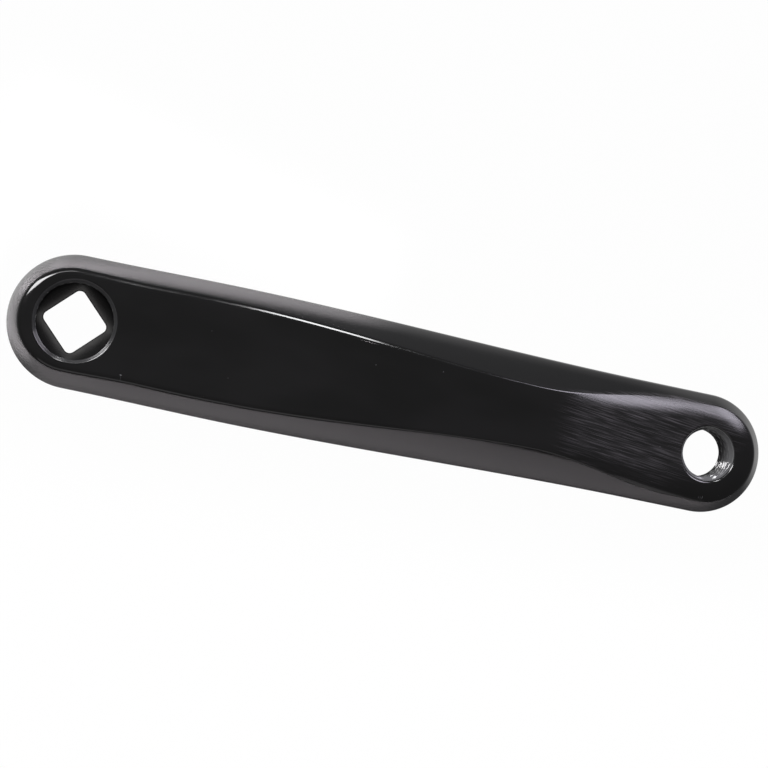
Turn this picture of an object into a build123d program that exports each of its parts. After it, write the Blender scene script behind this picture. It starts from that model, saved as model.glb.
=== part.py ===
from build123d import *
import os
from math import hypot, radians, tan

# A left-hand bicycle crank arm with a tapered square socket, forged as one piece.
# Lengths are in millimetres and angles in degrees. X runs along the arm from the spindle axis
# to the pedal axis, Z points outboard along the spindle axis, and Z = 0 is the boss's inboard face.

# Plan outline at the parting line, as half-widths about the X axis
crank_length = 170.0  # spindle axis to pedal axis
boss_radius = 17.5  # round end about the spindle axis
shoulder_x = 44.0  # widest place of the arm
shoulder_half_width = 17.95
neck_x = 150.0  # where the sides run parallel again
pedal_radius = 16.0  # round end about the pedal axis

# Parting plane, which rises towards the pedal end
parting_z_boss = 16.0
parting_z_pedal = 21.5
parting_edge_radius = 3.0

# Bevel from the parting line to the outboard face: how far it leans inwards for each millimetre of height
bevel_lean_boss = 0.516
bevel_lean_shoulder = 0.598
bevel_lean_neck = 0.837
bevel_lean_pedal = 0.759
bevel_shoulder_x = 20.0
bevel_neck_start_x = 44.0
bevel_neck_end_x = 150.0
bevel_pedal_start_x = 145.0
bevel_pedal_end_x = 170.0
bevel_height = 14.0  # reaches past the outboard face everywhere
bevel_crown = 0.6  # outward bulge half-way up
bevel_boss_shift = 1.4  # steeper bevel round the boss end, so its top outline lies further out

# Outboard face: level over the boss, rising to a crest, then dipping to the pedal face
boss_thickness = 26.0
rise_start_x = 13.0
crest_x = 121.0
crest_z = 31.0
dip_end_x = 162.0
pedal_face_z = 27.5
face_edge_radius = 1.2

# Rounded shoulders that roll off both edges of the face at the pedal end
roll_start_x = 105.0
roll_full_x = 150.0
roll_radius = 8.0
flat_half_width_neck = 5.5  # level strip between the two rolls
flat_half_width_pedal = 8.5
flat_widen_start_x = 130.0
flat_widen_end_x = 175.0

# Inboard side: a round boss on a web that rises to the pedal end
draft_angle = 6.0
boss_back_radius = 19.0  # where the boss's flat face and its flared side would meet
boss_flare_angle = 45.0
boss_rim_radius = 5.0
boss_root_radius = 8.0
web_back_z = 10.5  # below the spindle axis, where the boss hides it
pedal_thickness = 13.0
pedal_back_length = 20.0  # level inboard pedal face, on the boss side of the pedal axis
pedal_back_blend = 60.0
back_edge_radius = 2.5

# Spindle socket and extractor thread
square_width = 12.5  # across flats at its outboard end
square_taper_angle = 2.0  # on each side, opening inboard
square_corner_radius = 1.6
square_depth = 16.0
extractor_radius = 11.0  # M22 thread, at its root
extractor_mouth_chamfer = 0.1

# Pedal thread
pedal_bore_radius = 7.144  # 9/16 inch thread, at its root
pedal_lip_radius = 0.9
pedal_back_chamfer = 0.5

# Construction
margin = 12.0  # how far cutting shapes reach past the arm
outline_steps = 14  # points along each side of the outline
face_x_steps = 72  # points along and across the outboard face
face_y_steps = 36
face_degree = 3  # of the spline surface through those points
face_tolerance = 0.005
on_plane = 0.01  # how near a parting edge's middle lies to the parting plane
facing_inboard = -0.5  # a face whose normal's Z is below this looks inboard


def smooth_step(value, start, end):
    """0 before the start, 1 after the end, and a cubic with level ends between them."""
    share = min(max((value - start) / (end - start), 0.0), 1.0)
    return share * share * (3.0 - 2.0 * share)


def half_width(x):
    """Half of the arm's width at the parting line."""
    widening = (shoulder_half_width - boss_radius) * smooth_step(x, 0.0, shoulder_x)
    narrowing = (shoulder_half_width - pedal_radius) * smooth_step(x, shoulder_x, neck_x)
    return boss_radius + widening - narrowing


def bevel_lean(x):
    """How far the bevel leans inwards for each millimetre of height."""
    at_shoulder = (bevel_lean_shoulder - bevel_lean_boss) * smooth_step(x, 0.0, bevel_shoulder_x)
    at_neck = (bevel_lean_neck - bevel_lean_shoulder) * smooth_step(x, bevel_neck_start_x, bevel_neck_end_x)
    at_pedal = (bevel_lean_pedal - bevel_lean_neck) * smooth_step(x, bevel_pedal_start_x, bevel_pedal_end_x)
    return bevel_lean_boss + at_shoulder + at_neck + at_pedal


def face_height(x, y):
    """Height of the outboard face, with the rolled shoulders at the pedal end."""
    rise = (crest_z - boss_thickness) * smooth_step(x, rise_start_x, crest_x)
    dip = (crest_z - pedal_face_z) * smooth_step(x, crest_x, dip_end_x)
    widened = smooth_step(x, flat_widen_start_x, flat_widen_end_x)
    flat = flat_half_width_neck + (flat_half_width_pedal - flat_half_width_neck) * widened
    from_axis = hypot(max(x - crank_length, 0.0), y)
    roll = max(from_axis - flat, 0.0) ** 2 / (2.0 * roll_radius)
    return boss_thickness + rise - dip - roll * smooth_step(x, roll_start_x, roll_full_x)


def plan_outline(inset, boss_shift=0.0):
    """The closed outline, moved inwards by inset(x), with its boss end moved back by a shift."""
    stations = [crank_length * step / outline_steps for step in range(outline_steps + 1)]
    squeeze = (crank_length + boss_shift) / crank_length
    points = [(x * squeeze - boss_shift, half_width(x) - inset(x)) for x in stations]
    side = Spline(points, tangents=[(1, 0), (1, 0)])
    boss_x, boss = points[0]
    pedal_x, pedal = points[-1]
    pedal_end = ThreePointArc((pedal_x, pedal), (pedal_x + pedal, 0), (pedal_x, -pedal))
    boss_end = ThreePointArc((boss_x, -boss), (boss_x - boss, 0), (boss_x, boss))
    return make_face([side, pedal_end, mirror(side, Plane.XZ), boss_end])


def parting_plane(height):
    """The sloping parting plane, moved outboard by a height."""
    rise = parting_z_pedal - parting_z_boss
    plane = Plane((0, 0, parting_z_boss), x_dir=(crank_length, 0, rise), z_dir=(-rise, 0, crank_length))
    return plane.offset(height)


def forging():
    """Crowned outboard bevel and drafted inboard half, rounded where they meet at the parting line."""
    depth = parting_z_pedal + margin
    draft = tan(radians(draft_angle))
    half = bevel_height / 2.0
    parting = parting_plane(0) * plan_outline(lambda x: 0.0)
    middle = parting_plane(half) * plan_outline(
        lambda x: bevel_lean(x) * half - bevel_crown, bevel_boss_shift / 2.0
    )
    top = parting_plane(bevel_height) * plan_outline(lambda x: bevel_lean(x) * bevel_height, bevel_boss_shift)
    bottom = parting_plane(-depth) * plan_outline(lambda x: draft * depth)
    blank = loft([parting, middle, top]) + loft([bottom, parting], ruled=True)
    to_plane = parting_plane(0).to_local_coords
    parting_edges = [edge for edge in blank.edges() if abs(to_plane(edge.center()).Z) < on_plane]
    return fillet(parting_edges, parting_edge_radius)


def outboard_cutter():
    """Everything outboard of the arm's face."""
    x_start = -boss_radius - margin
    x_end = crank_length + pedal_radius + margin
    y_end = shoulder_half_width + margin
    x_stations = [x_start + (x_end - x_start) * i / face_x_steps for i in range(face_x_steps + 1)]
    y_stations = [y_end * (2.0 * j / face_y_steps - 1.0) for j in range(face_y_steps + 1)]
    rows = [[(x, y, face_height(x, y)) for y in y_stations] for x in x_stations]
    face = Face.make_surface_from_array_of_points(
        rows, tol=face_tolerance, min_deg=face_degree, max_deg=face_degree
    )
    return extrude(face, bevel_height + margin, dir=(0, 0, 1))


def boss_reach():
    """How far the boss's flared side would reach if it ran on past the parting line."""
    return boss_back_radius + (parting_z_pedal + margin) * tan(radians(boss_flare_angle))


def web_cutter():
    """Everything inboard of the web and the pedal end."""
    pedal_back_z = pedal_face_z - pedal_thickness
    level_x = crank_length - pedal_back_length
    x_start = -boss_reach()
    x_end = crank_length + pedal_radius + margin
    start_z = web_back_z + (pedal_back_z - web_back_z) * x_start / level_x
    floor_z = -parting_z_pedal - 2.0 * margin
    web_line = FilletPolyline(
        (x_start, 0, start_z), (level_x, 0, pedal_back_z), (x_end, 0, pedal_back_z), radius=pedal_back_blend
    )
    below = Polyline(
        (x_end, 0, pedal_back_z), (x_end, 0, floor_z), (x_start, 0, floor_z), (x_start, 0, start_z)
    )
    profile = make_face([*web_line.edges(), *below.edges()])
    return extrude(profile, amount=boss_reach(), both=True)


def boss_cutter():
    """Everything around and inboard of the flared boss, with its seam on the side away from the arm."""
    height = parting_z_pedal + margin
    reach = crank_length + pedal_radius + margin
    floor_z = -parting_z_pedal - 3.0 * margin
    boss_line = FilletPolyline(
        (0, 0, 0), (-boss_back_radius, 0, 0), (-boss_reach(), 0, height), radius=boss_rim_radius
    )
    outside = Polyline(
        (-boss_reach(), 0, height), (-reach, 0, height), (-reach, 0, floor_z), (0, 0, floor_z), (0, 0, 0)
    )
    return revolve(make_face([*boss_line.edges(), *outside.edges()]), Axis.Z)


def inboard_cutter():
    """Everything inboard of the arm, with the boss blended into the web."""
    cutter = web_cutter() & boss_cutter()
    return fillet(cutter.edges().filter_by(GeomType.ELLIPSE), boss_root_radius)


def border_edges(faces):
    """The edges around a group of faces, without those between two of them."""
    edges = [edge for face in faces for edge in face.edges()]
    return [edge for edge in edges if sum(edge.is_same(other) for other in edges) == 1]


def solid_arm():
    """The forging trimmed to its outboard face and inboard side, with its edges rounded."""
    arm = forging() - outboard_cutter() - inboard_cutter()
    outboard_face = arm.faces().sort_by(Axis.Z)[-1]
    arm = fillet(outboard_face.edges(), face_edge_radius)
    inboard_faces = [face for face in arm.faces() if face.normal_at(face.center()).Z < facing_inboard]
    return fillet(border_edges(inboard_faces), back_edge_radius)


def spindle_hole():
    """Extractor recess over a square socket whose diagonals lie along and across the arm."""
    up = (Align.CENTER, Align.CENTER, Align.MIN)
    recess_height = boss_thickness - square_depth + margin
    recess = Pos(0, 0, square_depth) * Cylinder(extractor_radius, recess_height, align=up)
    mouth_height = 2.0 * extractor_mouth_chamfer
    mouth = Pos(0, 0, boss_thickness - extractor_mouth_chamfer) * Cone(
        extractor_radius, extractor_radius + mouth_height, mouth_height, align=up
    )
    square = Pos(0, 0, square_depth) * RectangleRounded(
        square_width, square_width, square_corner_radius, rotation=45
    )
    socket = extrude(square, -square_depth - margin, taper=-square_taper_angle)
    return recess + mouth + socket


def crank_arm():
    """The whole arm, with both holes cut."""
    arm = solid_arm() - spindle_hole()
    arm -= Pos(crank_length, 0, 0) * Cylinder(pedal_bore_radius, 2.0 * (pedal_face_z + margin))
    pedal_middle = (crank_length, 0, pedal_face_z - pedal_thickness / 2.0)
    bore = arm.faces().filter_by(GeomType.CYLINDER).sort_by_distance(pedal_middle)[0]
    arm = chamfer(bore.edges().sort_by(Axis.Z)[0], pedal_back_chamfer)
    bore = arm.faces().filter_by(GeomType.CYLINDER).sort_by_distance(pedal_middle)[0]
    return fillet(bore.edges().sort_by(Axis.Z)[-1], pedal_lip_radius)


os.makedirs("parts", exist_ok=True)
arm = crank_arm()
arm.label = "crank_arm"
export_step(arm, "parts/crank_arm.step")
print("crank_arm", arm.is_valid, len(arm.solids()), round(arm.volume), "mm3")
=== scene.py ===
from math import atan2, cos, pi, radians, sin, tan
import bmesh
import bpy
import numpy as np
from mathutils import Matrix, Vector


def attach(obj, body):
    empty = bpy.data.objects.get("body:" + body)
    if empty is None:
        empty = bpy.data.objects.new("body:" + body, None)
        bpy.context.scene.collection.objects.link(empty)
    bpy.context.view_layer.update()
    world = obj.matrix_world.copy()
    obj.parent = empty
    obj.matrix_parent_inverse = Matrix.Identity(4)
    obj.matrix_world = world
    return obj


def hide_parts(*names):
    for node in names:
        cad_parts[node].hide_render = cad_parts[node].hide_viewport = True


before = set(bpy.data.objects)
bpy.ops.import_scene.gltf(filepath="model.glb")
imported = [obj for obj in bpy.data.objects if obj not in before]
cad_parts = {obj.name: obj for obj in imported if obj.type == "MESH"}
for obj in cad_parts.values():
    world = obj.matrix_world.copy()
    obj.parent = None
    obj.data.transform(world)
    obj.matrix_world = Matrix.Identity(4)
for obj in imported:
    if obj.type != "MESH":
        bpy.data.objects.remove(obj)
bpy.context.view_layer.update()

mm = 0.001

# the forged arm, in millimetres: X from spindle axis to pedal axis, Z outboard, boss back at Z = 0
arm = {
    "crankLength": 170.0,
    "bossRadius": 17.5,
    "shoulderX": 44.0,
    "shoulderHalf": 17.95,
    "neckX": 150.0,
    "pedalRadius": 16.0,
    "partingBoss": 16.0,  # parting line height over the spindle and pedal axes
    "partingPedal": 21.5,
    "partingRound": 3.0,
    "leanBoss": 0.516,  # bevel: inward lean for each unit of height
    "leanShoulder": 0.598,
    "leanNeck": 0.837,
    "leanPedal": 0.759,
    "leanToShoulder": (0.0, 20.0),
    "leanToNeck": (44.0, 150.0),
    "leanToPedal": (145.0, 170.0),
    "bevelHeight": 14.0,
    "bevelCrown": 0.6,
    "bossShift": 1.4,
    "faceBoss": 26.0,
    "rise": (13.0, 121.0),
    "crestZ": 31.0,
    "dipEnd": 162.0,
    "facePedal": 27.5,
    "faceRound": (2.2, 1.1, 3.0),  # boss half, pedal half and pedal tip
    "faceRoundFade": (60.0, 125.0),
    "tipRoundFade": (172.0, 181.0),
    "roll": (105.0, 150.0),
    "rollRadius": 8.0,
    "flatNeck": 5.5,  # half width of the level strip between the two rolls
    "flatPedal": 8.5,
    "flatWiden": (130.0, 175.0),
    "draft": 6.0,
    "drop": 34.0,  # how far the drafted wall is drawn below the parting line
    "bossBack": 19.0,  # where the boss's flat back and its flare would meet
    "rimRound": 5.0,
    "rootBlend": 2.6,
    "webBack": 10.5,
    "pedalBack": 14.5,
    "levelFrom": 150.0,
    "backRound": 2.5,
    "slopeProbe": 0.02,  # step for the slope of a height field
}

# both holes, in millimetres
holes = {
    "mouthRadius": 10.75,
    "mouthEdge": 0.3,
    "leadDepth": 0.5,  # cone from the mouth down to the first crest, with fine ridges
    "leadRidges": 1.3,
    "ridgeDepth": 0.05,
    "crestLand": 0.12,
    "extractorRoot": 10.7,
    "extractorCrest": 9.95,
    "extractorPitch": 1.0,
    "threadRootFlat": 0.08,  # shares of half a pitch
    "threadFlank": 0.8,
    "threadRunOut": 0.8,  # pitches over which a thread fades at each end
    "undercut": 1.3,  # plain wall under the last turn
    "seatZ": 16.0,
    "squareHalf": 6.25,
    "squareCorner": 1.6,
    "squareTaper": 2.0,
    "edgeBreak": 0.25,
    "lipRound": 0.9,
    "pedalRoot": 7.144,
    "pedalCrest": 6.35,
    "pedalPitch": 1.27,
    "backChamfer": 0.5,
    "mouthWear": 0.15,  # share of the finish that is worn off the threads and the seat
    "seatWear": (0.22, 0.06),  # beside the socket and out at the thread
    "seatWearFade": (6.4, 8.8),
    # the pedal bore's wall gets this share of the lighter colour, as painted light on its threads
    "borePaintedLight": 0.75,
    # below the lip the lighter colour is painted light on the bore's wall; on the lip it is wear
    "lipWear": (0.0, 0.22),  # how far up the lip the wear is full and gone
}

# columns along one side, from the boss tip to the pedal tip, and steps across each strip of the surface
counts = {
    "boss": 60,
    "bossSide": 36,
    "middle": 140,
    "pedalSide": 24,
    "pedal": 60,
    "sideSplit": (15.0, 160.0),  # x where the columns along the side change their spacing
    "faceRows": 24,
    "faceGather": 1.2,  # power that draws the face's rows to its outer edge
    "backRows": 16,
    "faceRound": 12,
    "partingRound": 8,
    "backRound": 8,
    "bevel": 10,
    "wall": 5,
    "mouth": 4,
    "leadIn": 30,
    "extractorThread": 75,
    "seat": 6,
    "socket": 5,
    "lip": 8,
    "pedalThread": 77,
    "halvings": 40,
}

# how the points are joined and where the finish changes, in millimetres and degrees
zones = {
    "weld": 0.002,
    "sliver": 0.0001,
    "sharpAngle": 40.0,
    "underFace": (0.15, 0.6),  # depth below the outboard face at which a point no longer belongs to it
    "mouthMargin": 0.02,
    "overSeat": (-0.1, 0.0),
    "threadOverSeat": (0.2, 0.8),
}


def smoothStep(v, a, b):
    s = np.clip((v - a) / (b - a), 0.0, 1.0)
    return s * s * (3.0 - 2.0 * s)


def halfWidth(x):
    # boss radius widening to the shoulder, then narrowing to the pedal end, each by a smooth step
    widen = (arm["shoulderHalf"] - arm["bossRadius"]) * smoothStep(x, 0.0, arm["shoulderX"])
    narrow = (arm["shoulderHalf"] - arm["pedalRadius"]) * smoothStep(x, arm["shoulderX"], arm["neckX"])
    return arm["bossRadius"] + widen - narrow


def bevelLean(x):
    shoulder = (arm["leanShoulder"] - arm["leanBoss"]) * smoothStep(x, *arm["leanToShoulder"])
    neck = (arm["leanNeck"] - arm["leanShoulder"]) * smoothStep(x, *arm["leanToNeck"])
    pedal = (arm["leanPedal"] - arm["leanNeck"]) * smoothStep(x, *arm["leanToPedal"])
    return arm["leanBoss"] + shoulder + neck + pedal


def faceHeight(x, y):
    # level boss, rise to the crest, dip to the pedal face, less a parabola past the flat half-width
    rise = (arm["crestZ"] - arm["faceBoss"]) * smoothStep(x, *arm["rise"])
    dip = (arm["crestZ"] - arm["facePedal"]) * smoothStep(x, arm["rise"][1], arm["dipEnd"])
    flat = arm["flatNeck"] + (arm["flatPedal"] - arm["flatNeck"]) * smoothStep(x, *arm["flatWiden"])
    off = np.hypot(np.maximum(x - arm["crankLength"], 0.0), y)
    drop = np.maximum(off - flat, 0.0) ** 2 / (2.0 * arm["rollRadius"])
    return arm["faceBoss"] + rise - dip - drop * smoothStep(x, *arm["roll"])


def backHeight(x, y):
    # the lower of the web's slope and the boss's 45 degree flare, rounded at the rim and at the root
    slope = (arm["pedalBack"] - arm["webBack"]) / arm["levelFrom"]
    web = np.minimum(arm["webBack"] + slope * x, arm["pedalBack"])
    radius = np.hypot(x, y)
    rim = arm["rimRound"]
    start = arm["bossBack"] - rim * tan(pi / 8)
    reach = rim * sin(pi / 4)
    onRim = np.clip(radius - start, 0.0, reach)
    boss = rim - np.sqrt(rim * rim - onRim * onRim) + np.maximum(radius - start - reach, 0.0)
    k = arm["rootBlend"]
    return np.minimum(web, boss) - np.maximum(k - np.abs(web - boss), 0.0) ** 2 / (4.0 * k)


def liftToParting(plan, height):
    # plan points turned onto the sloping parting plane and moved along its normal
    turn = atan2(arm["partingPedal"] - arm["partingBoss"], arm["crankLength"])
    x, y = plan
    z = arm["partingBoss"] + x * sin(turn) + height * cos(turn)
    return np.stack([x * cos(turn) - height * sin(turn), y, z], -1)


def sideOutline(inset, shift=0.0):
    # quarter circle, side curve and quarter circle, moved inwards by inset(x), with the boss end moved out
    c = counts
    length = arm["crankLength"]
    bossTurn = np.linspace(pi, pi / 2, c["boss"] + 1)
    pedalTurn = np.linspace(pi / 2, 0.0, c["pedal"] + 1)[1:]
    near, far = c["sideSplit"]
    side = np.concatenate([
        np.linspace(0.0, near, c["bossSide"] + 1)[1:],
        np.linspace(near, far, c["middle"] + 1)[1:],
        np.linspace(far, length, c["pedalSide"] + 1)[1:],
    ])
    bossR = arm["bossRadius"] - inset(0.0)
    pedalR = arm["pedalRadius"] - inset(length)
    x = np.concatenate([
        -shift + bossR * np.cos(bossTurn),
        side * (length + shift) / length - shift,
        length + pedalR * np.cos(pedalTurn),
    ])
    y = np.concatenate([bossR * np.sin(bossTurn), halfWidth(side) - inset(side), pedalR * np.sin(pedalTurn)])
    return x, y


def crossing(curve, columns, height, sign):
    # share of each column's curve at which it meets a height field, by halving
    low, high = np.zeros(columns), np.ones(columns)
    for _ in range(counts["halvings"]):
        mid = 0.5 * (low + high)
        p = curve(mid)
        short = (height(p[:, 0], p[:, 1]) - p[:, 2]) * sign > 0
        low, high = np.where(short, mid, low), np.where(short, high, mid)
    return low


def unit(v):
    return v / np.linalg.norm(v, axis=-1, keepdims=True)


def inward(edge, height):
    # unit step from an edge curve into the face it borders, along the height field
    along = np.gradient(edge[:, :2], axis=0)
    along[0], along[-1] = (0.0, 1.0), (0.0, -1.0)
    along = unit(along)
    step = np.stack([along[:, 1], -along[:, 0]], -1)
    probe = arm["slopeProbe"]
    ahead = edge[:, :2] + probe * step
    slope = (height(ahead[:, 0], ahead[:, 1]) - height(edge[:, 0], edge[:, 1])) / probe
    return unit(np.concatenate([step, slope[:, None]], -1))


def roundEdge(corner, one, two, radius, rows):
    # circular arc tangent to two unit directions that leave a corner: rows x columns x 3
    half = 0.5 * np.arccos(np.clip((one * two).sum(-1), -1.0, 1.0))[:, None]
    centre = corner + unit(one + two) * radius / np.sin(half)
    start = unit(corner + one * radius / np.tan(half) - centre)
    end = unit(corner + two * radius / np.tan(half) - centre)
    sweep = np.arccos(np.clip((start * end).sum(-1), -1.0, 1.0))[:, None]
    s = np.linspace(0.0, 1.0, rows + 1)[:, None, None]
    return centre + radius * (np.sin((1.0 - s) * sweep) * start + np.sin(s * sweep) * end) / np.sin(sweep)


def between(a, b, rows):
    # straight rows from curve a to curve b, without both ends
    s = np.linspace(0.0, 1.0, rows + 1)[1:-1, None, None]
    return a + (b - a) * s


def ring(x, y, z):
    return np.stack(np.broadcast_arrays(x, y, z), -1).astype(float)


def squareRadius(turn, half, corner):
    # polar radius of a rounded square whose diagonals lie on X and Y
    c, s = np.abs(np.cos(turn - pi / 4)), np.abs(np.sin(turn - pi / 4))
    c, s = np.maximum(c, s), np.minimum(c, s)
    inner = half - corner
    onArc = half * s / c > inner
    dot = (c + s) * inner
    arc = dot + np.sqrt(np.maximum(dot * dot - 2.0 * inner * inner + corner * corner, 0.0))
    return np.where(onArc, arc, half / c)


def turnsFull(n):
    # the same columns as the two half rings, once round: left tip, over +Y, back under -Y
    return pi - np.arange(2 * n) * pi / n


def threadRadius(turn, z, top, bottom, root, crest, pitch, hand):
    # truncated triangle wave along a helix, right-hand for hand = 1, fading out at both ends of the thread
    phase = (z / pitch - hand * turn / (2.0 * pi)) % 1.0
    wave = np.clip((np.abs(2.0 * phase - 1.0) - holes["threadRootFlat"]) / holes["threadFlank"], 0.0, 1.0)
    runOut = holes["threadRunOut"] * pitch
    fade = smoothStep(z, bottom, bottom + runOut) * (1.0 - smoothStep(z, top - runOut, top))
    return root - (root - crest) * wave * fade


def buildPatches():
    c = counts
    drop = arm["drop"]
    lean = tan(radians(arm["draft"]))
    parting = liftToParting(sideOutline(lambda x: 0.0 * x), 0.0)
    rise = arm["bevelHeight"]
    top = liftToParting(sideOutline(lambda x: bevelLean(x) * rise, arm["bossShift"]), rise)
    bottom = liftToParting(sideOutline(lambda x: lean * drop + 0.0 * x), -drop)
    bulge = liftToParting(sideOutline(lambda x: 0.0 * x - arm["bevelCrown"]), 0.0) - parting
    columns = len(parting)

    def bevel(share):
        # straight line from the parting line to the top outline plus the crown 4 b t (1 - t)
        t = share[..., None]
        return parting + (top - parting) * t + 4.0 * t * (1.0 - t) * bulge

    def bevelSlope(share):
        return top - parting + 4.0 * (1.0 - 2.0 * share[..., None]) * bulge

    def wall(share):
        return parting + (bottom - parting) * share[..., None]

    # one skin from face to back: edge round, bevel, parting round, drafted wall, edge round
    faceShare = crossing(bevel, columns, faceHeight, 1.0)
    faceEdge, backEdge = bevel(faceShare), wall(crossing(wall, columns, backHeight, -1.0))
    faceSlope, partSlope = bevelSlope(faceShare), bevelSlope(0.0 * faceShare)
    down = unit(bottom - parting)
    softer, crisper, tip = arm["faceRound"]
    faceRound = softer + (crisper - softer) * smoothStep(faceEdge[:, :1], *arm["faceRoundFade"])
    faceRound = faceRound + (tip - crisper) * smoothStep(faceEdge[:, :1], *arm["tipRoundFade"])
    faceArc = roundEdge(faceEdge, inward(faceEdge, faceHeight), -unit(faceSlope), faceRound, c["faceRound"])
    partArc = roundEdge(parting, unit(partSlope), down, arm["partingRound"], c["partingRound"])
    backArc = roundEdge(backEdge, -down, inward(backEdge, backHeight), arm["backRound"], c["backRound"])
    faceArc[0, :, 2] = faceHeight(faceArc[0, :, 0], faceArc[0, :, 1])
    backArc[-1, :, 2] = backHeight(backArc[-1, :, 0], backArc[-1, :, 1])
    backArc[..., 2] = np.maximum(backArc[..., 2], backHeight(backArc[..., 0], backArc[..., 1]))
    first = faceShare - np.linalg.norm(faceArc[-1] - faceEdge, axis=-1) / np.linalg.norm(faceSlope, axis=-1)
    last = np.linalg.norm(partArc[0] - parting, axis=-1) / np.linalg.norm(partSlope, axis=-1)
    s = np.linspace(0.0, 1.0, c["bevel"] + 1)[1:-1, None]
    bevelRows = bevel(first * (1.0 - s) + last * s)
    wallRows = between(partArc[-1], backArc[0], c["wall"])
    skin = np.concatenate([faceArc, bevelRows, partArc, wallRows, backArc])
    skin[:, 0, 1] = skin[:, -1, 1] = 0.0

    # face and back: straight rows from the outer edge in to half rings joined by the arm's axis
    nBoss, nPedal = c["boss"] + c["bossSide"], c["pedalSide"] + c["pedal"]
    bossTurn, pedalTurn = np.linspace(pi, 0.0, nBoss + 1), np.linspace(pi, 0.0, nPedal + 1)
    length = arm["crankLength"]

    def innerLine(bossR, pedalR):
        middle = np.linspace(bossR[-1], length - pedalR, c["middle"] + 1)[1:-1]
        x = np.concatenate([bossR * np.cos(bossTurn), middle, length + pedalR * np.cos(pedalTurn)])
        y = np.concatenate([bossR * np.sin(bossTurn), 0.0 * middle, pedalR * np.sin(pedalTurn)])
        y[[0, nBoss, nBoss + c["middle"], -1]] = 0.0
        return np.stack([x, y], -1)

    lip = holes["pedalRoot"] + holes["lipRound"]
    flare = holes["seatZ"] * tan(radians(holes["squareTaper"]))
    backHalf, backCorner = holes["squareHalf"] + flare, holes["squareCorner"] + flare
    leadTilt = atan2(holes["leadDepth"], holes["mouthRadius"] - holes["extractorCrest"])
    faceIn = innerLine(np.full(nBoss + 1, holes["mouthRadius"] + holes["mouthEdge"] * sin(leadTilt)), lip)
    brk = holes["edgeBreak"]
    backR = holes["pedalRoot"] + holes["backChamfer"]
    backIn = innerLine(squareRadius(bossTurn, backHalf + brk, backCorner + brk), backR)
    s = np.linspace(0.0, 1.0, c["faceRows"] + 1)[:, None, None] ** c["faceGather"]
    face = faceArc[0, :, :2] * (1.0 - s) + faceIn * s
    face = np.concatenate([face, faceHeight(face[..., 0], face[..., 1])[..., None]], -1)
    s = np.linspace(0.0, 1.0, c["backRows"] + 1)[:, None, None]
    back = backArc[-1, :, :2] * (1.0 - s) + backIn * s
    back = np.concatenate([back, backHeight(back[..., 0], back[..., 1])[..., None]], -1)

    # extractor hole: rounded mouth, ridged lead-in, right-hand thread, undercut, seat, tapered square socket
    turn = turnsFull(nBoss)
    seat, crest = holes["seatZ"], holes["extractorCrest"]
    tilt = np.linspace(0.0, leadTilt, c["mouth"] + 1)[:, None]
    r = holes["mouthRadius"] + holes["mouthEdge"] * (sin(leadTilt) - np.sin(tilt))
    z = arm["faceBoss"] - holes["mouthEdge"] * (1.0 - np.cos(tilt))
    mouth = ring(r * np.cos(turn), r * np.sin(turn), z)
    s = np.linspace(0.0, 1.0, c["leadIn"] + 1)[1:, None]
    ridge = holes["ridgeDepth"] * np.sin(2.0 * pi * holes["leadRidges"] * s - turn) * 4.0 * s * (1.0 - s)
    r = holes["mouthRadius"] + (crest - holes["mouthRadius"]) * s
    leadIn = ring(r * np.cos(turn), r * np.sin(turn), z[-1] - holes["leadDepth"] * s + ridge)
    wallTop, wallEnd = z[-1, 0] - holes["leadDepth"] - holes["crestLand"], seat + holes["undercut"]
    land = ring(crest * np.cos(turn), crest * np.sin(turn), wallTop)[None]
    z = np.linspace(wallTop, wallEnd, c["extractorThread"] + 1)[:, None]
    rootR = holes["extractorRoot"]
    r = threadRadius(turn[None, :], z, wallTop, wallEnd, rootR, crest, holes["extractorPitch"], 1.0)
    thread = ring(r * np.cos(turn), r * np.sin(turn), z)
    root = ring(rootR * np.cos(turn), rootR * np.sin(turn), seat)[None]

    def squareRing(half, corner, height):
        rho = squareRadius(turn, half, corner)
        return ring(rho * np.cos(turn), rho * np.sin(turn), height)[None]

    half, corner = holes["squareHalf"], holes["squareCorner"]
    seatEdge = squareRing(half + brk, corner + brk, seat)
    seatRows = np.concatenate([root, between(root[0], seatEdge[0], c["seat"]), seatEdge])
    socketTop, socketEnd = squareRing(half, corner, seat - brk), squareRing(backHalf, backCorner, brk)
    socketRows = between(socketTop[0], socketEnd[0], c["socket"])
    socketBack = squareRing(backHalf + brk, backCorner + brk, 0.0)
    socket = np.concatenate([socketTop, socketRows, socketEnd, socketBack])
    bossHole = np.concatenate([mouth, leadIn, land, thread, seatRows, socket])

    # pedal hole: rounded lip, left-hand thread, back chamfer
    turn = turnsFull(nPedal)
    lipTurn = np.linspace(0.0, pi / 2, c["lip"] + 1)[:, None]
    r = lip - holes["lipRound"] * np.sin(lipTurn)
    z = arm["facePedal"] - holes["lipRound"] * (1.0 - np.cos(lipTurn))
    lipRows = ring(length + r * np.cos(turn), r * np.sin(turn), z)
    wallTop, wallEnd = arm["facePedal"] - holes["lipRound"], arm["pedalBack"] + holes["backChamfer"]
    z = np.linspace(wallTop, wallEnd, c["pedalThread"] + 1)[1:, None]
    rootR, crest = holes["pedalRoot"], holes["pedalCrest"]
    r = threadRadius(turn[None, :], z, wallTop, wallEnd, rootR, crest, holes["pedalPitch"], -1.0)
    thread = ring(length + r * np.cos(turn), r * np.sin(turn), z)
    backRing = ring(length + backR * np.cos(turn), backR * np.sin(turn), arm["pedalBack"])[None]
    pedalHole = np.concatenate([lipRows, thread, backRing])
    return [skin, face, back], [bossHole, pedalHole]


def gridQuads(rows, cols, closed, start):
    i = np.arange(rows - 1)[:, None] * cols
    j = np.arange(cols if closed else cols - 1)[None, :]
    k = (j + 1) % cols
    return start + np.stack([i + j, i + k, i + cols + k, i + cols + j], -1).reshape(-1, 4)


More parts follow.
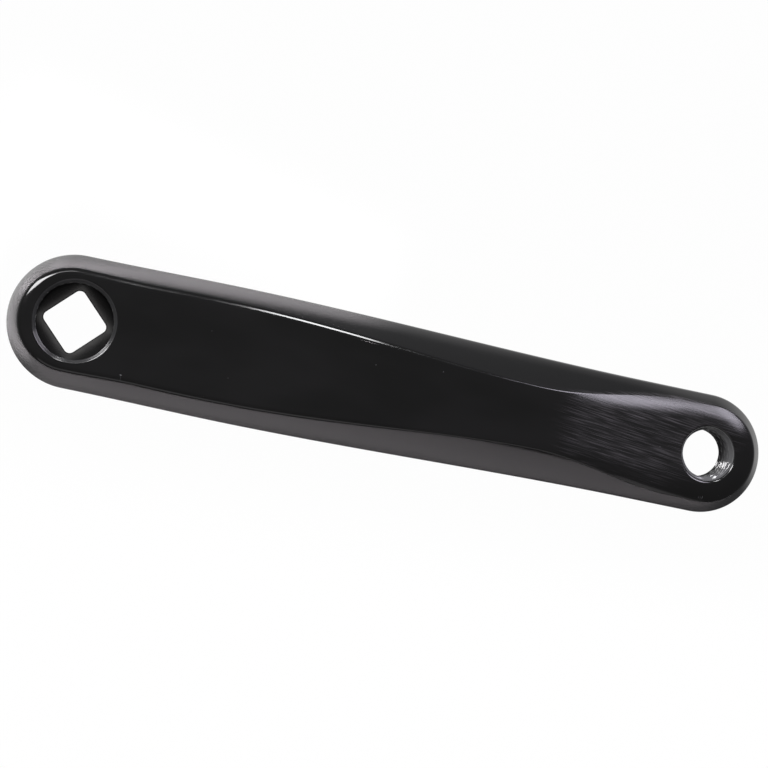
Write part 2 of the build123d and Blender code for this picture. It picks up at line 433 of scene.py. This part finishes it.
def makeArm():
    halves, rounds = buildPatches()
    points, quads, count = [], [], 0
    for grid in halves:
        for side in (1.0, -1.0):  # the arm is the same on both sides of its axis
            points.append((grid * (1.0, side, 1.0)).reshape(-1, 3))
            quads.append(gridQuads(grid.shape[0], grid.shape[1], False, count))
            count += len(points[-1])
    for grid in rounds:
        points.append(grid.reshape(-1, 3))
        quads.append(gridQuads(grid.shape[0], grid.shape[1], True, count))
        count += len(points[-1])
    points, quads = np.concatenate(points) * mm, np.concatenate(quads)
    mesh = bpy.data.meshes.new("forgedArm")
    mesh.from_pydata(points, [], quads.tolist())
    bm = bmesh.new()
    bm.from_mesh(mesh)
    bmesh.ops.remove_doubles(bm, verts=bm.verts, dist=zones["weld"] * mm)
    bmesh.ops.dissolve_degenerate(bm, edges=bm.edges, dist=zones["sliver"] * mm)
    bmesh.ops.recalc_face_normals(bm, faces=bm.faces)
    loose = sum(1 for e in bm.edges if len(e.link_faces) != 2)
    bm.to_mesh(mesh)
    bm.free()
    mesh.polygons.foreach_set("use_smooth", np.ones(len(mesh.polygons), bool))
    mesh.set_sharp_from_angle(angle=radians(zones["sharpAngle"]))
    place = np.empty(3 * len(mesh.vertices))
    mesh.vertices.foreach_get("co", place)
    x, y, z = place.reshape(-1, 3).T / mm

    def keep(name, values):
        mesh.attributes.new(name, "FLOAT", "POINT").data.foreach_set("value", values)

    keep("onFace", 1.0 - smoothStep(faceHeight(x, y) - z, *zones["underFace"]))
    overSeat = z - holes["seatZ"]
    inMouth = np.hypot(x, y) < holes["mouthRadius"] + zones["mouthMargin"]
    inMouth = inMouth * smoothStep(overSeat, *zones["overSeat"])
    keep("inMouth", inMouth)
    onThread = smoothStep(overSeat, *zones["threadOverSeat"])
    # pedal bore: painted light on the threaded wall, wear on the lip
    full, gone = (holes["pedalRoot"] + v for v in holes["lipWear"])
    inBore = 1.0 - smoothStep(np.hypot(x - arm["crankLength"], y), full, gone)
    near, far = holes["seatWear"]
    seatWear = near + (far - near) * smoothStep(np.hypot(x, y), *holes["seatWearFade"])
    seatWear = seatWear + (holes["mouthWear"] - seatWear) * onThread
    # lighter colour: wear on the extractor hole's threads and seat, painted light on the pedal bore's wall
    keep("wearAndBoreLight", np.maximum(inMouth * seatWear, inBore * holes["borePaintedLight"]))
    obj = bpy.data.objects.new("forgedArm", mesh)
    bpy.context.scene.collection.objects.link(obj)
    print("arm mesh", len(mesh.vertices), "points,", len(mesh.polygons), "faces,", loose, "open edges")
    return obj


forgedArm = makeArm()


# polished black anodised finish, brushed lengthwise in the dip, with lengths in millimetres
# a Show or Drift is two values of a noise and what they become
anodised = {
    "color": (0.004, 0.004, 0.004),
    # lighter grey for painted sheen: on the brush streaks, and as painted soft reflections on the face
    "sheenColor": (0.055, 0.05, 0.055),
    # lighter colour of the worn threads and seat, and painted light on the pedal bore's wall
    "wearAndLightColor": (0.11, 0.108, 0.112),  # worn off the threads
    "nickColor": (0.2, 0.2, 0.21),
    "specularTint": (1.0, 0.97, 0.985),
    "ior": 1.5,
    "polished": 0.10,  # roughness
    "brushed": 0.28,
    "threadMatt": 0.08,
    "gloss": 0.5,  # specular level
    "threadGloss": 0.45,
    "dip": (124.0, 137.0, 164.0, 178.0),  # where the brushing starts, is full, fades and ends
    "dipLean": 0.9,  # its far end lies this much further on for each unit across
    "dipSide": (-9.5, -4.5, 0.25, 1.0),  # brushing fades to a quarter towards the lower edge
    "brushTurn": -6.0,
    "brushGrain": (9.0, 0.22),  # length and width of one stroke
    "patchGrain": (18.0, 2.6),
    "cloudGrain": (36.0, 16.0),
    "brushDetail": 1.5,
    "patchDetail": 2.0,
    "cloudDetail": 2.0,
    "brushShow": (0.47, 0.67, 0.0, 1.0),
    "patchShow": (0.3, 0.65, 0.4, 1.0),
    "cloudShow": (0.35, 0.7, 0.0, 0.04),
    "roughDrift": (0.3, 0.7, -0.02, 0.03),
    "brushDepth": 0.014,
    "brushLift": (0.06, 1.0),  # share of that depth outside the dip and in it
    "nicksAbove": (18.0, 20.0),
    "nickEdge": (0.4, 1.3),
    "nicks": {  # place along and across the arm, half length along and across, strength
        "bossNick": (14.1, -11.1, 0.3, 0.16, 0.45),
        "bossScratch": (14.2, -12.0, 0.08, 0.7, 0.1),
        "pedalNickA": (169.9, -11.9, 0.06, 0.4, 0.25),
        "pedalNickB": (170.4, -11.9, 0.06, 0.4, 0.25),
        "pedalNickC": (170.9, -11.7, 0.07, 0.45, 0.5),
        "faceSpeckA": (77.5, 4.8, 0.16, 0.12, 0.22),
        "faceSpeckB": (95.0, 6.6, 0.16, 0.12, 0.22),
        "faceSpeckC": (34.5, 4.7, 0.16, 0.12, 0.1),
        "faceSpeckD": (41.0, -6.3, 0.16, 0.12, 0.12),
        "dipSpeck": (156.5, -0.8, 0.12, 0.12, 0.5),
    },
}


def nodeTools(tree):
    # short hands for a node tree: set or link a socket, one sum, one smooth step between two limits
    def put(value, socket):
        if isinstance(value, bpy.types.NodeSocket):
            tree.links.new(value, socket)
        else:
            socket.default_value = value

    def math(operation, one, two):
        n = tree.nodes.new("ShaderNodeMath")
        n.operation = operation
        put(one, n.inputs[0])
        put(two, n.inputs[1])
        return n.outputs[0]

    def remap(value, fromMin, fromMax, toMin=0.0, toMax=1.0):
        n = tree.nodes.new("ShaderNodeMapRange")
        n.interpolation_type = "SMOOTHSTEP"
        for socket, v in zip(n.inputs, (value, fromMin, fromMax, toMin, toMax)):
            put(v, socket)
        return n.outputs[0]

    return put, math, remap


def anodisedFinish():
    a = anodised
    mat = bpy.data.materials.new("blackAnodised")
    mat.use_nodes = True
    nodes, links = mat.node_tree.nodes, mat.node_tree.links
    put, math, remap = nodeTools(mat.node_tree)
    shader = nodes["Principled BSDF"]
    place = nodes.new("ShaderNodeTexCoord").outputs["Object"]
    axes = nodes.new("ShaderNodeSeparateXYZ")
    flat = nodes.new("ShaderNodeCombineXYZ")  # place without its height, so that strokes run on down a slope
    links.new(place, axes.inputs[0])
    links.new(axes.outputs[0], flat.inputs[0])
    links.new(axes.outputs[1], flat.inputs[1])

    def stretchedNoise(grain, turn, detail):
        stretch = nodes.new("ShaderNodeMapping")
        stretch.vector_type = "TEXTURE"
        stretch.inputs["Rotation"].default_value = (0.0, 0.0, radians(turn))
        stretch.inputs["Scale"].default_value = (grain[0] * mm, grain[1] * mm, 1.0)
        links.new(flat.outputs[0], stretch.inputs["Vector"])
        n = nodes.new("ShaderNodeTexNoise")
        n.inputs["Scale"].default_value = 1.0
        n.inputs["Detail"].default_value = detail
        links.new(stretch.outputs[0], n.inputs["Vector"])
        return n.outputs["Fac"]

    def blend(share, one, two):
        n = nodes.new("ShaderNodeMix")
        n.data_type = "RGBA"  # its colours are inputs 6 and 7 and output 2
        put(share, n.inputs[0])
        put(one if isinstance(one, bpy.types.NodeSocket) else (*one, 1.0), n.inputs[6])
        put((*two, 1.0), n.inputs[7])
        return n.outputs[2]

    def attribute(name):
        n = nodes.new("ShaderNodeAttribute")
        n.attribute_name = name
        return n.outputs["Fac"]

    along, across, up = axes.outputs
    onFace = attribute("onFace")
    start, full, fade, end = (v * mm for v in a["dip"])
    leaning = math("SUBTRACT", along, math("MULTIPLY", across, a["dipLean"]))
    dip = math("MULTIPLY", remap(along, start, full), remap(leaning, fade, end, 1.0, 0.0))
    dip = math("MULTIPLY", dip, onFace)
    low, high, least, most = a["dipSide"]
    dip = math("MULTIPLY", dip, remap(across, low * mm, high * mm, least, most))
    brush = stretchedNoise(a["brushGrain"], a["brushTurn"], a["brushDetail"])
    patches = stretchedNoise(a["patchGrain"], a["brushTurn"], a["patchDetail"])
    clouds = stretchedNoise(a["cloudGrain"], 0.0, a["cloudDetail"])
    # the brush strokes are real; their lighter colour is painted sheen of the light they scatter
    streaks = math("MULTIPLY", remap(brush, *a["brushShow"]), remap(patches, *a["patchShow"]))
    color = blend(math("MULTIPLY", dip, streaks), a["color"], a["sheenColor"])
    # painted soft reflections: random lighter patches on the outboard face
    faceSheen = math("MULTIPLY", remap(clouds, *a["cloudShow"]), onFace)
    color = blend(faceSheen, color, a["sheenColor"])
    # lighter colour: wear on the extractor hole's threads and seat, painted light on the pedal bore's wall
    color = blend(attribute("wearAndBoreLight"), color, a["wearAndLightColor"])

    # each nick is where (dx / length)^2 + (dy / width)^2 is under about 1
    marks = 0.0
    for x, y, length, width, strength in a["nicks"].values():
        dx = math("DIVIDE", math("SUBTRACT", along, x * mm), length * mm)
        dy = math("DIVIDE", math("SUBTRACT", across, y * mm), width * mm)
        far = math("ADD", math("MULTIPLY", dx, dx), math("MULTIPLY", dy, dy))
        marks = math("MAXIMUM", marks, remap(far, *a["nickEdge"], strength, 0.0))
    low, high = (v * mm for v in a["nicksAbove"])
    color = blend(math("MULTIPLY", marks, remap(up, low, high)), color, a["nickColor"])

    rough = remap(dip, 0.0, 1.0, a["polished"], a["brushed"])
    rough = math("ADD", rough, remap(patches, *a["roughDrift"]))
    inMouth = attribute("inMouth")
    rough = math("ADD", rough, math("MULTIPLY", inMouth, a["threadMatt"]))
    bump = nodes.new("ShaderNodeBump")
    bump.inputs["Distance"].default_value = a["brushDepth"] * mm
    put(remap(dip, 0.0, 1.0, *a["brushLift"]), bump.inputs["Strength"])
    put(brush, bump.inputs["Height"])
    put(color, shader.inputs["Base Color"])
    put(rough, shader.inputs["Roughness"])
    put(remap(inMouth, 0.0, 1.0, a["gloss"], a["threadGloss"]), shader.inputs["Specular IOR Level"])
    put(bump.outputs[0], shader.inputs["Normal"])
    shader.inputs["Specular Tint"].default_value = (*a["specularTint"], 1.0)
    shader.inputs["IOR"].default_value = a["ior"]
    return mat


forgedArm.data.materials.append(anodisedFinish())
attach(forgedArm, "root")
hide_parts("crank_arm")
print("finish on the arm")


# pale floor, tilted so that the boss and the pedal end both rest on it
stage = {
    "floorTilt": 5.0,
    "floorHalf": 3.0,
    "touchX": 18.0,
    "paper": 0.12,
    "white": 0.985,  # floor as the camera sees it
    "mirrored": 0.05,  # floor as the arm's sides show it, and what is added close to the arm
    # close to the arm the floor glows as a painted pool of light, seen only in the arm's reflections
    "nearGlow": 0.85,
    "near": (23.0, 51.0),  # distance from the arm's axis
    "glowSide": (-14.0, 4.0),  # none below the arm in the picture, all above it
}


def makeFloor():
    half = stage["floorHalf"]
    x, y = np.meshgrid(np.linspace(-half, half, 2), np.linspace(-half, half, 2), indexing="ij")
    z = (x - stage["touchX"] * mm) * tan(radians(stage["floorTilt"]))
    mesh = bpy.data.meshes.new("paleFloor")
    mesh.from_pydata(np.stack([x, y, z], -1).reshape(-1, 3), [], gridQuads(2, 2, False, 0)[:, ::-1].tolist())
    obj = bpy.data.objects.new("paleFloor", mesh)
    bpy.context.scene.collection.objects.link(obj)
    mat = bpy.data.materials.new("palePaper")
    mat.use_nodes = True
    nodes, links = mat.node_tree.nodes, mat.node_tree.links
    nodes.clear()
    put, math, remap = nodeTools(mat.node_tree)
    out = nodes.new("ShaderNodeOutputMaterial")
    paper = nodes.new("ShaderNodeBsdfDiffuse")
    paper.inputs["Color"].default_value = (stage["paper"],) * 3 + (1.0,)
    glow = nodes.new("ShaderNodeEmission")
    rays = nodes.new("ShaderNodeLightPath")
    place = nodes.new("ShaderNodeSeparateXYZ")
    links.new(nodes.new("ShaderNodeTexCoord").outputs["Object"], place.inputs[0])
    # distance from the line between the two hole axes
    past = math("MAXIMUM", math("SUBTRACT", place.outputs[0], arm["crankLength"] * mm), 0.0)
    past = math("MAXIMUM", past, math("MULTIPLY", place.outputs[0], -1.0))
    square = math("ADD", math("MULTIPLY", past, past), math("MULTIPLY", place.outputs[1], place.outputs[1]))
    # painted pool of light: the floor glows brighter close to the arm and above it, for glossy rays only
    near = remap(math("POWER", square, 0.5), *(v * mm for v in stage["near"]), stage["nearGlow"], 0.0)
    near = math("MULTIPLY", near, remap(place.outputs[1], *(v * mm for v in stage["glowSide"])))
    mirrored = math("MULTIPLY", rays.outputs["Is Glossy Ray"], math("ADD", near, stage["mirrored"]))
    seen = math("ADD", mirrored, math("MULTIPLY", rays.outputs["Is Camera Ray"], stage["white"]))
    mix = nodes.new("ShaderNodeMixShader")
    put(seen, mix.inputs[0])
    put(paper.outputs[0], mix.inputs[1])
    put(glow.outputs[0], mix.inputs[2])
    put(mix.outputs[0], out.inputs["Surface"])
    mesh.materials.append(mat)


makeFloor()


# lamps: where they stand, what they face, width and height in metres, and brightness (white paper = 1)
lamps = {
    "softboxRight": {
        "at": (0.4385, 0.404, 0.3685), "aim": (0.1585, 0.004, 0.0185), "roll": -18.0,
        "size": (0.34, 0.31), "bright": 10.0, "spread": 180.0, "tint": (0.905, 0.885, 1.0),
    },
    "softboxTop": {
        "at": (0.089, 0.49, 0.38), "aim": (0.045, 0.0, 0.03), "roll": 0.0,
        "size": (0.08, 0.21), "bright": 27.0, "spread": 180.0, "tint": (0.97, 1.0, 1.0),
    },
    "softboxLeft": {
        "at": (-0.323, 0.252, 0.287), "aim": (0.0, 0.0, 0.03), "roll": 25.0,
        "size": (0.18, 0.36), "bright": 19.0, "spread": 180.0, "tint": (0.98, 1.0, 1.0),
    },
    "stripLeft": {
        "at": (-0.19, 0.375, 0.354), "aim": (0.0, 0.0, 0.03), "roll": 0.0,
        "size": (0.34, 0.06), "bright": 7.0, "spread": 180.0, "tint": (0.98, 1.0, 1.0),
    },
    "fillBelow": {
        "at": (0.05, -0.7, 0.3), "aim": (0.05, 0.0, 0.03), "roll": 0.0,
        "size": (0.9, 0.3), "bright": 0.6, "spread": 180.0, "tint": (1.0, 1.0, 1.0),
    },
    "seatGlow": {
        "at": (0.0, 0.0, 0.034), "aim": (0.0, 0.0, 0.0), "roll": 45.0,
        "size": (0.0148, 0.0148), "bright": 0.025, "spread": 20.0, "tint": (1.0, 1.0, 0.97),
    },
    "poolAbove": {
        "at": (0.025, 0.041, 0.08), "aim": (0.025, 0.041, 0.0), "roll": -12.0,
        "size": (0.11, 0.023), "bright": 18.5, "spread": 20.0, "tint": (1.0, 0.945, 0.985),
    },
    "poolLeft": {
        "at": (-0.034, -0.006, 0.05), "aim": (-0.034, -0.006, 0.0), "roll": 0.0,
        "size": (0.016, 0.06), "bright": 11.5, "spread": 20.0, "tint": (1.0, 0.945, 0.985),
    },
    "poolCorner": {
        "at": (-0.0269, 0.0269, 0.05), "aim": (-0.0269, 0.0269, 0.0), "roll": -45.0,
        "size": (0.018, 0.034), "bright": 14.0, "spread": 20.0, "tint": (1.0, 0.945, 0.985),
    },
    "poolBelow": {
        "at": (0.085, -0.094, 0.12), "aim": (0.085, -0.094, 0.0), "roll": 0.0,
        "size": (0.28, 0.117), "bright": 6.9, "spread": 20.0, "tint": (1.0, 0.94, 0.975),
    },
}
room = {"ceiling": 0.15}


def aimMatrix(at, aim, roll=0.0):
    back = (Vector(at) - Vector(aim)).normalized()
    steep = abs(back.z) > 0.9  # looking down, so Y points up in the picture
    side = Vector((0.0, 1.0, 0.0)) if steep else Vector((0.0, 0.0, 1.0))
    right = side.cross(back).normalized()
    turn = Matrix((right, back.cross(right), back)).transposed().to_4x4()
    return Matrix.Translation(at) @ turn @ Matrix.Rotation(radians(roll), 4, "Z")


def makeLamps():
    for name, s in lamps.items():
        data = bpy.data.lights.new(name, "AREA")
        data.shape = "RECTANGLE"
        data.size, data.size_y = s["size"]
        data.spread = radians(s["spread"])
        data.color = s["tint"]
        # a flat panel's power is pi times area times radiance
        data.energy = s["bright"] * pi * data.size * data.size_y
        obj = bpy.data.objects.new(name, data)
        obj.matrix_world = aimMatrix(s["at"], s["aim"], s["roll"])
        bpy.context.scene.collection.objects.link(obj)
    world = bpy.data.worlds.new("studio")
    bpy.context.scene.world = world
    world.use_nodes = True
    nodes, links = world.node_tree.nodes, world.node_tree.links
    back = nodes["Background"]
    rays = nodes.new("ShaderNodeLightPath")
    tone = nodes.new("ShaderNodeMix")
    tone.data_type = "RGBA"
    tone.inputs[6].default_value = (room["ceiling"],) * 3 + (1.0,)
    tone.inputs[7].default_value = (1.0, 1.0, 1.0, 1.0)
    links.new(rays.outputs["Is Camera Ray"], tone.inputs[0])
    links.new(tone.outputs[2], back.inputs["Color"])


makeLamps()
print("floor and lamps set")


# camera over the boss, turned to the arm's slope in the picture, in millimetres
camera = {
    "at": (4.0, -13.0, 540.0),
    "aim": (81.03, 0.47, 26.0),
    "roll": 11.635,
    "lens": 93.77,
    "sensor": 36.0,
    "clip": (10.0, 100000.0),
}


def makeCamera():
    data = bpy.data.cameras.new("camera")
    data.sensor_width = camera["sensor"]
    data.lens = camera["lens"]
    data.clip_start, data.clip_end = (v * mm for v in camera["clip"])
    obj = bpy.data.objects.new("camera", data)
    obj.matrix_world = aimMatrix(Vector(camera["at"]) * mm, Vector(camera["aim"]) * mm, camera["roll"])
    bpy.context.scene.collection.objects.link(obj)
    bpy.context.scene.camera = obj


makeCamera()
bpy.context.scene.view_settings.view_transform = "Standard"
